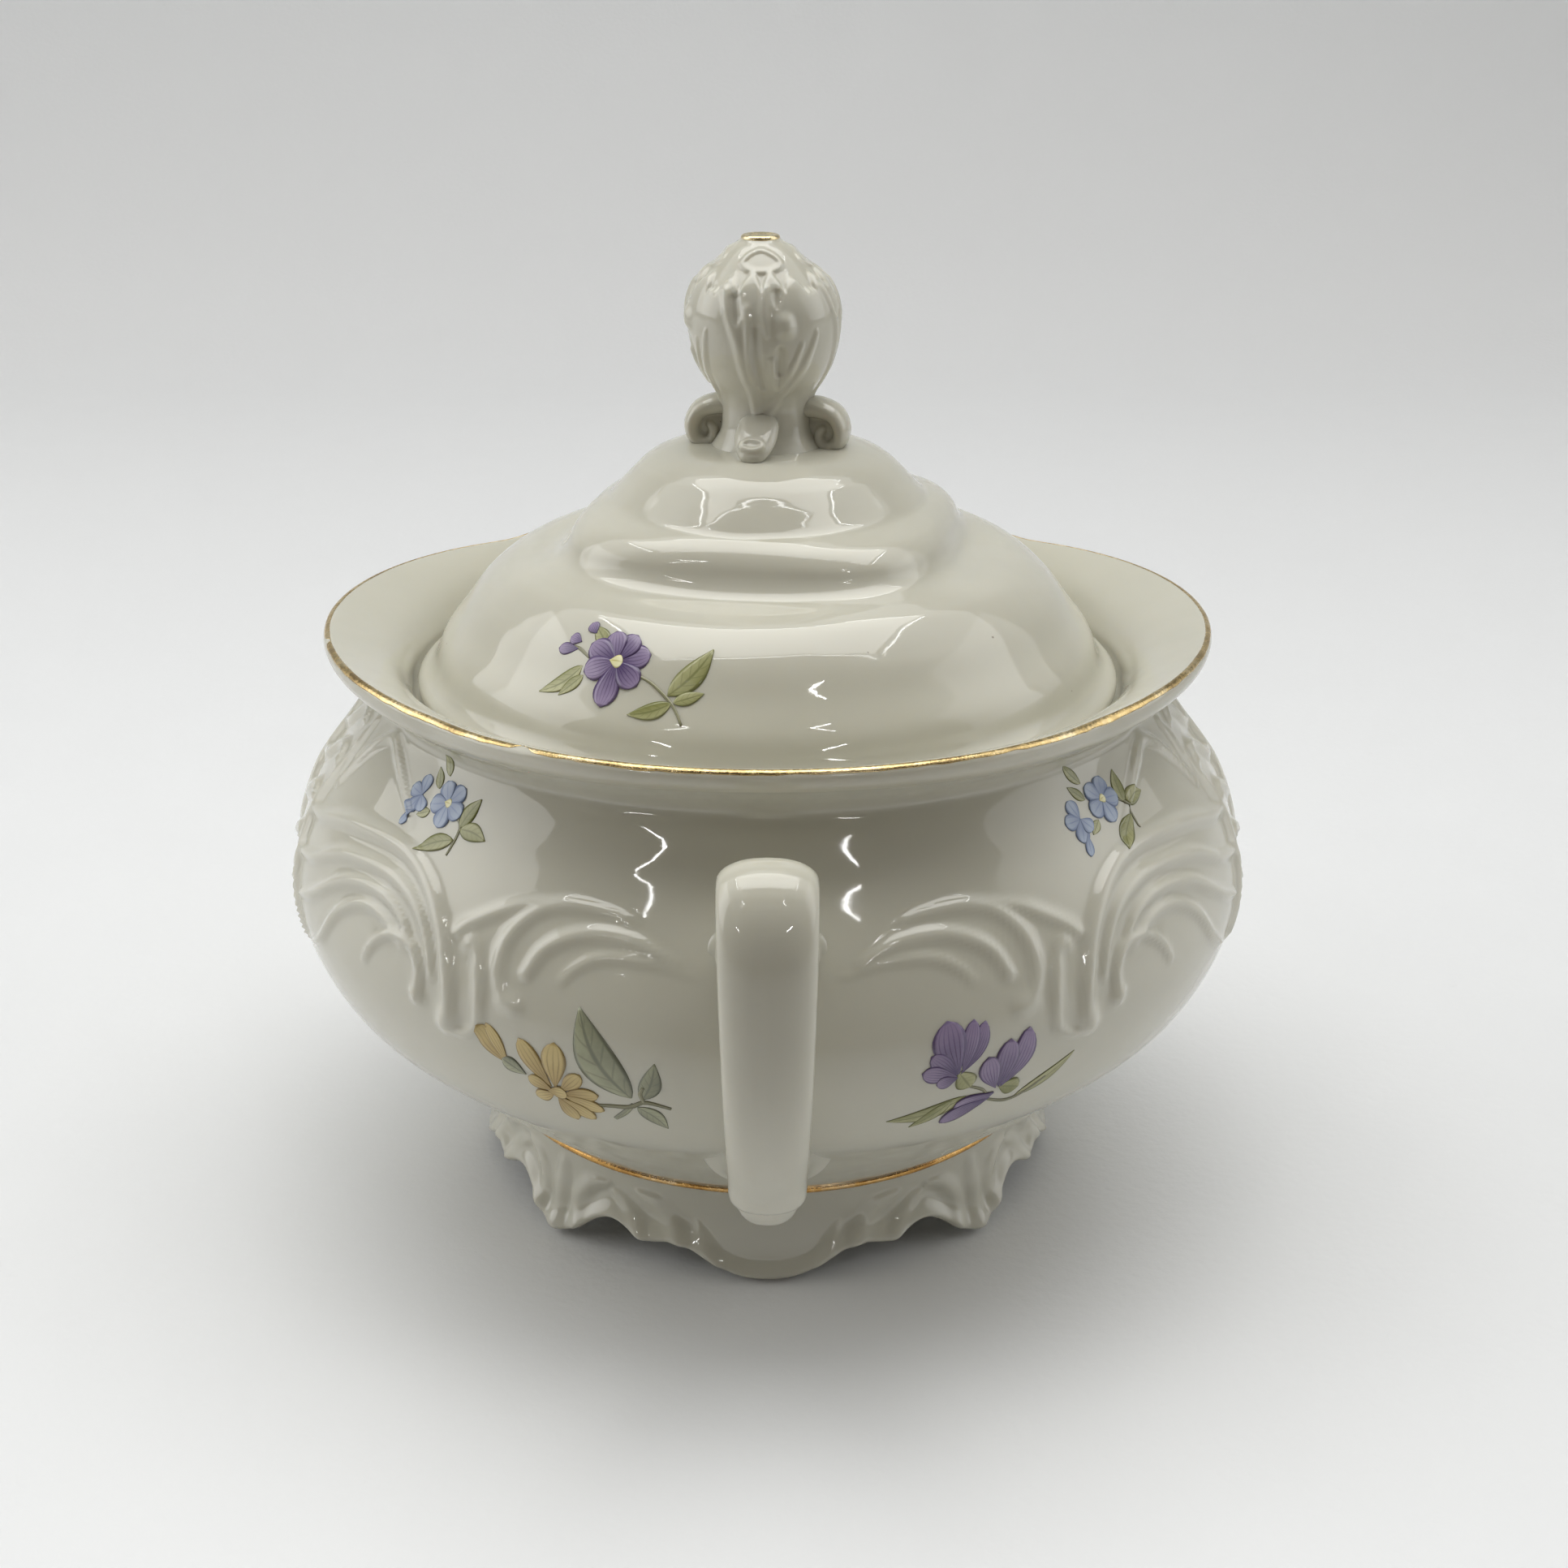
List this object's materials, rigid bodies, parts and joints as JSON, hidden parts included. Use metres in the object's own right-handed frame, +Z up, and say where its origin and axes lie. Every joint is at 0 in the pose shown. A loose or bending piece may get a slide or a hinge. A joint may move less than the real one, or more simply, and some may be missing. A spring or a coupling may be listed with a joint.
{
  "type": "sugar bowl with lid",
  "caption": "Lidded glazed porcelain sugar bowl with a lobed flared rim, skirt foot, two strap handles, a lift-off tiered lid with a bud finial, floral sprays and gilded lines.",
  "frame": {"origin": "bottom centre of the foot, on the surface the bowl stands on", "axes": "+Z up; the two handles lie along Y, the front one towards -Y; +X to the right of a viewer who faces the front handle"},
  "size_m": [0.116, 0.146, 0.1148],
  "materials": {
    "porcelain": "gloss",
    "gold": "polished"
  },
  "bodies": {
    "bowl": {"bowl_shell": "porcelain", "foot_skirt": "porcelain", "handle_front": "porcelain", "handle_rear": "porcelain", "rim_gilding": "gold", "foot_gilding": "gold"},
    "lid": {"lid_shell": "porcelain", "lid_collar": "porcelain", "finial_bud": "porcelain", "finial_volutes": "porcelain", "finial_gilding": "gold"}
  },
  "joints": [
    {"name": "lid_lift", "type": "slide", "parent": "bowl", "child": "lid", "axis": [0, 0, 1], "range_m": [0, 0.03]}
  ]
}
